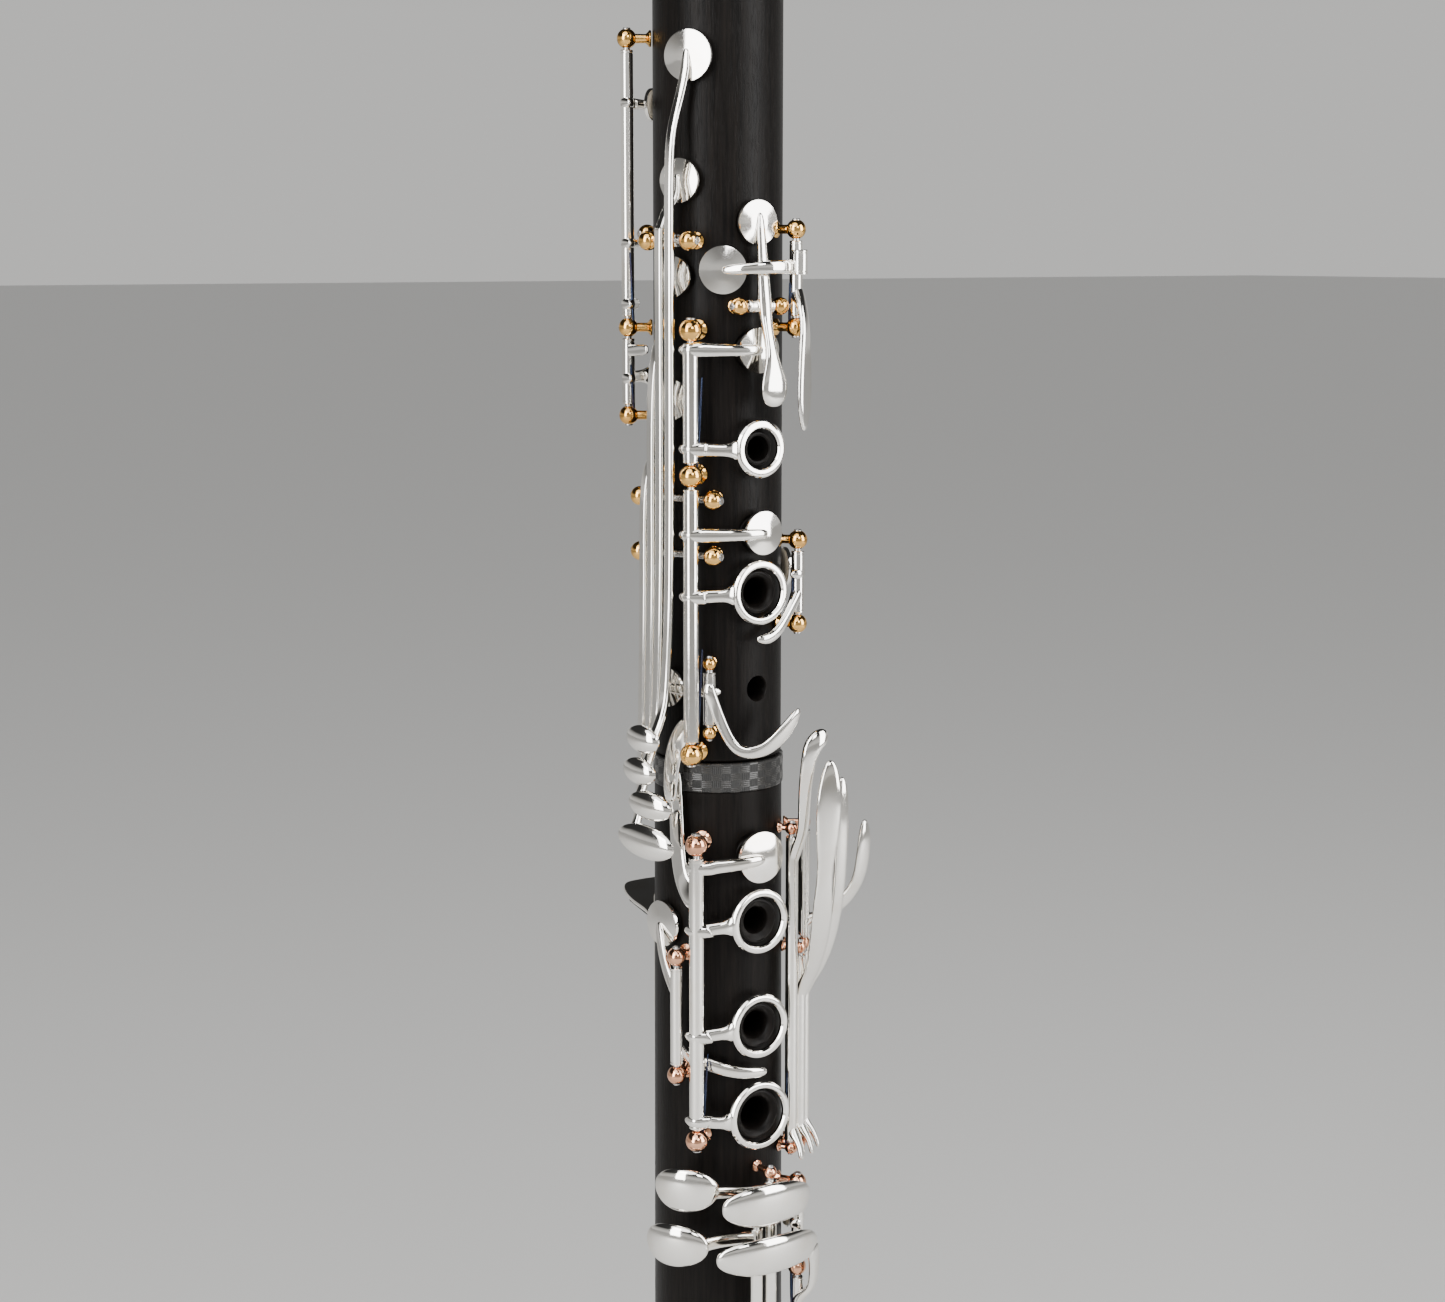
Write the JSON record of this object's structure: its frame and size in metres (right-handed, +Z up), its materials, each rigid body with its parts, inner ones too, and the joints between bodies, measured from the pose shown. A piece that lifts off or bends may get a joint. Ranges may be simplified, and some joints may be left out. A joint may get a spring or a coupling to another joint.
{
  "type": "soprano clarinet",
  "caption": "Black wooden soprano clarinet with a flared bell, beak mouthpiece with reed and ligature, silver-plated keys and rings on gold and rose gold posts.",
  "frame": {"origin": "centre of the bell's rim, on the plane it stands on", "axes": "+Z up the bore from the bell to the mouthpiece; -Y is the front, where the finger holes are; +X is to the right when the holes are looked at"},
  "size_m": [0.08, 0.08, 0.675],
  "materials": {
    "blackwood": "oiled satin blackwood, nearly black",
    "ebonite": "polished black hard rubber",
    "woven_fibre": "dark grey woven fibre under lacquer",
    "silver_plate": "bright silver plate, polished",
    "gold_plate": "polished yellow gold plate",
    "rose_gold_plate": "polished rose gold plate",
    "cork": "greased natural cork",
    "cane": "dry cane"
  },
  "bodies": {
    "body": {"a_hinge": "gold_plate", "back_hinge": "gold_plate", "bell": "blackwood", "bell_band": "woven_fibre", "c_sharp_hinge": "gold_plate", "e_hinge": "rose_gold_plate", "f_and_a_flat_hinge": "rose_gold_plate", "f_sharp_hinge": "rose_gold_plate", "fourth_side_hinge": "gold_plate", "g_sharp_hinge": "gold_plate", "left_lever_hinge_1": "rose_gold_plate", "left_lever_hinge_2": "rose_gold_plate", "left_lever_hinge_3": "rose_gold_plate", "lower_hinge": "rose_gold_plate", "lower_joint": "blackwood", "lower_joint_band": "woven_fibre", "lower_sliver_hinge": "rose_gold_plate", "lower_tenon_cork": "cork", "register_hinge": "gold_plate", "third_side_hinge": "gold_plate", "thumb_bush": "silver_plate", "thumb_rest": "silver_plate", "trill_hinge": "gold_plate", "upper_foot_cork": "cork", "upper_hinge": "gold_plate", "upper_joint": "blackwood", "upper_sliver_hinge": "gold_plate", "upper_top_cork": "cork"},
    "tuning_barrel": {"barrel": "blackwood", "barrel_foot_band": "woven_fibre", "barrel_top_band": "woven_fibre"},
    "mouthpiece_set": {"mouthpiece": "ebonite", "mouthpiece_cork": "cork", "reed": "cane", "ligature_band": "silver_plate"},
    "ligature_screw_lower": {"ligature_screw_lower": "silver_plate"},
    "ligature_screw_upper": {"ligature_screw_upper": "silver_plate"},
    "first_ring_key": {"first_ring_key": "silver_plate"},
    "second_ring_key": {"second_ring_key": "silver_plate"},
    "a_key": {"a_key": "silver_plate"},
    "g_sharp_key": {"g_sharp_key": "silver_plate"},
    "upper_sliver_key": {"upper_sliver_key": "silver_plate"},
    "c_sharp_key": {"c_sharp_key": "silver_plate"},
    "side_key_1": {"side_key_1": "silver_plate"},
    "side_key_2": {"side_key_2": "silver_plate"},
    "side_key_3": {"side_key_3": "silver_plate"},
    "side_key_4": {"side_key_4": "silver_plate"},
    "vent_key": {"vent_key": "silver_plate"},
    "thumb_ring_key": {"thumb_ring_key": "silver_plate"},
    "register_key": {"register_key": "silver_plate"},
    "lower_ring_key": {"lower_ring_key": "silver_plate"},
    "lower_sliver_key": {"lower_sliver_key": "silver_plate"},
    "low_e_key": {"low_e_key": "silver_plate"},
    "f_sharp_key": {"f_sharp_key": "silver_plate"},
    "a_flat_key": {"a_flat_key": "silver_plate"},
    "low_f_key": {"low_f_key": "silver_plate"},
    "left_f_sharp_lever": {"left_f_sharp_lever": "silver_plate"},
    "left_e_lever": {"left_e_lever": "silver_plate"},
    "left_f_lever": {"left_f_lever": "silver_plate"},
    "left_a_flat_lever": {"left_a_flat_lever": "silver_plate"}
  },
  "joints": [
    {"name": "barrel_tuning_slide", "type": "slide", "parent": "body", "child": "tuning_barrel", "axis": [0, 0, 1], "range_m": [0, 0.003]},
    {"name": "mouthpiece_turn", "type": "hinge", "parent": "tuning_barrel", "child": "mouthpiece_set", "pos_m": [0, 0, 0.6023], "axis": [0, 0, 1], "continuous": true},
    {"name": "ligature_screw_lower_turn", "type": "hinge", "parent": "mouthpiece_set", "child": "ligature_screw_lower", "pos_m": [0, 0.018, 0.617], "axis": [1, 0, 0], "continuous": true},
    {"name": "ligature_screw_upper_turn", "type": "hinge", "parent": "mouthpiece_set", "child": "ligature_screw_upper", "pos_m": [0, 0.018, 0.632], "axis": [1, 0, 0], "continuous": true},
    {"name": "first_ring_press", "type": "hinge", "parent": "body", "child": "first_ring_key", "pos_m": [-0.01494, -0.01253, 0.409], "axis": [0, 0, 1], "range_deg": [0, 3.5], "stiffness_Nm_per_rad": 0.03, "springref_deg": -20.05},
    {"name": "second_ring_press", "type": "hinge", "parent": "body", "child": "second_ring_key", "pos_m": [-0.01494, -0.01253, 0.3487], "axis": [0, 0, 1], "range_deg": [0, 3.5], "stiffness_Nm_per_rad": 0.03, "springref_deg": -20.05},
    {"name": "a_key_press", "type": "hinge", "parent": "body", "child": "a_key", "pos_m": [-0.00029, -0.01683, 0.4418], "axis": [0.9998, -0.0175, 0], "range_deg": [0, 4], "stiffness_Nm_per_rad": 0.03, "springref_deg": -20.05},
    {"name": "g_sharp_press", "type": "hinge", "parent": "body", "child": "g_sharp_key", "pos_m": [0.00839, -0.0176, 0.4397], "axis": [0, 0, 1], "range_deg": [0, 5], "stiffness_Nm_per_rad": 0.03, "springref_deg": -20.05},
    {"name": "upper_sliver_press", "type": "hinge", "parent": "body", "child": "upper_sliver_key", "pos_m": [0.01035, -0.01594, 0.3754], "axis": [0, 0, -1], "range_deg": [0, 5], "stiffness_Nm_per_rad": 0.03, "springref_deg": -20.05},
    {"name": "c_sharp_press", "type": "hinge", "parent": "body", "child": "c_sharp_key", "pos_m": [-0.01089, -0.01345, 0.3522], "axis": [0, 0, 1], "range_deg": [0, 5], "stiffness_Nm_per_rad": 0.03, "springref_deg": -20.05},
    {"name": "side_1_press", "type": "hinge", "parent": "body", "child": "side_key_1", "pos_m": [-0.01625, -0.00846, 0.4555], "axis": [0.3786, -0.9255, 0], "range_deg": [0, 1.1], "stiffness_Nm_per_rad": 0.03, "springref_deg": -20.05},
    {"name": "side_2_press", "type": "hinge", "parent": "body", "child": "side_key_2", "pos_m": [-0.01709, -0.00639, 0.4555], "axis": [0.3786, -0.9255, 0], "range_deg": [0, 1.1], "stiffness_Nm_per_rad": 0.03, "springref_deg": -20.05},
    {"name": "side_3_press", "type": "hinge", "parent": "body", "child": "side_key_3", "pos_m": [-0.01572, -0.00377, 0.401], "axis": [0.3907, -0.9205, 0], "range_deg": [0, 2.3], "stiffness_Nm_per_rad": 0.03, "springref_deg": -20.05},
    {"name": "side_4_press", "type": "hinge", "parent": "body", "child": "side_key_4", "pos_m": [-0.01652, -0.00188, 0.389], "axis": [0.3907, -0.9205, 0], "range_deg": [0, 2.4], "stiffness_Nm_per_rad": 0.03, "springref_deg": -20.05},
    {"name": "vent_press", "type": "hinge", "parent": "body", "child": "vent_key", "pos_m": [-0.01722, 0.00915, 0.4394], "axis": [0, 0, 1], "range_deg": [0, 5], "stiffness_Nm_per_rad": 0.03, "springref_deg": -20.05},
    {"name": "thumb_ring_press", "type": "hinge", "parent": "body", "child": "thumb_ring_key", "pos_m": [-0.01722, 0.00915, 0.4204], "axis": [0, 0, -1], "range_deg": [0, 3.5], "stiffness_Nm_per_rad": 0.03, "springref_deg": -20.05},
    {"name": "register_press", "type": "hinge", "parent": "body", "child": "register_key", "pos_m": [0, 0.01699, 0.457], "axis": [-1, 0, 0], "range_deg": [0, 4], "stiffness_Nm_per_rad": 0.03, "springref_deg": -20.05},
    {"name": "lower_ring_press", "type": "hinge", "parent": "body", "child": "lower_ring_key", "pos_m": [-0.01442, -0.01368, 0.2618], "axis": [0, 0, 1], "range_deg": [0, 3.5], "stiffness_Nm_per_rad": 0.03, "springref_deg": -20.05},
    {"name": "lower_sliver_press", "type": "hinge", "parent": "body", "child": "lower_sliver_key", "pos_m": [-0.01696, -0.0094, 0.2758], "axis": [0, 0, 1], "range_deg": [0, 4.5], "stiffness_Nm_per_rad": 0.03, "springref_deg": -20.05},
    {"name": "low_e_press", "type": "hinge", "parent": "body", "child": "low_e_key", "pos_m": [-0.00282, -0.02004, 0.1318], "axis": [0, 0, -1], "range_deg": [0, 6], "stiffness_Nm_per_rad": 0.03, "springref_deg": -20.05},
    {"name": "f_sharp_press", "type": "hinge", "parent": "body", "child": "f_sharp_key", "pos_m": [0.00088, -0.02011, 0.1838], "axis": [0, 0, -1], "range_deg": [0, 4.5], "stiffness_Nm_per_rad": 0.03, "springref_deg": -20.05},
    {"name": "a_flat_press", "type": "hinge", "parent": "body", "child": "a_flat_key", "pos_m": [0.01009, -0.01747, 0.2278], "axis": [0, 0, -1], "range_deg": [0, 4], "stiffness_Nm_per_rad": 0.03, "springref_deg": -20.05},
    {"name": "low_f_press", "type": "hinge", "parent": "body", "child": "low_f_key", "pos_m": [0.01009, -0.01747, 0.1624], "axis": [0, 0, -1], "range_deg": [0, 3], "stiffness_Nm_per_rad": 0.03, "springref_deg": -20.05},
    {"name": "left_f_sharp_press", "type": "hinge", "parent": "body", "child": "left_f_sharp_lever", "pos_m": [0.00979, -0.01508, 0.2548], "axis": [0, 0, -1], "range_deg": [0, 5]},
    {"name": "left_e_press", "type": "hinge", "parent": "body", "child": "left_e_lever", "pos_m": [0.01308, -0.01354, 0.2548], "axis": [0, 0, -1], "range_deg": [0, 6.7]},
    {"name": "left_f_press", "type": "hinge", "parent": "body", "child": "left_f_lever", "pos_m": [0.01588, -0.01112, 0.2548], "axis": [0, 0, -1], "range_deg": [0, 4]},
    {"name": "left_a_flat_press", "type": "hinge", "parent": "body", "child": "left_a_flat_lever", "pos_m": [0.01588, -0.01112, 0.3008], "axis": [0, 0, -1], "range_deg": [0, 5]}
  ],
  "couplings": [
    {"joint": "left_f_sharp_press", "follows": "f_sharp_press", "ratio": 1.1},
    {"joint": "left_e_press", "follows": "low_e_press", "ratio": 1.1},
    {"joint": "left_f_press", "follows": "low_f_press", "ratio": 1.3},
    {"joint": "left_a_flat_press", "follows": "a_flat_press", "ratio": 1.2}
  ]
}
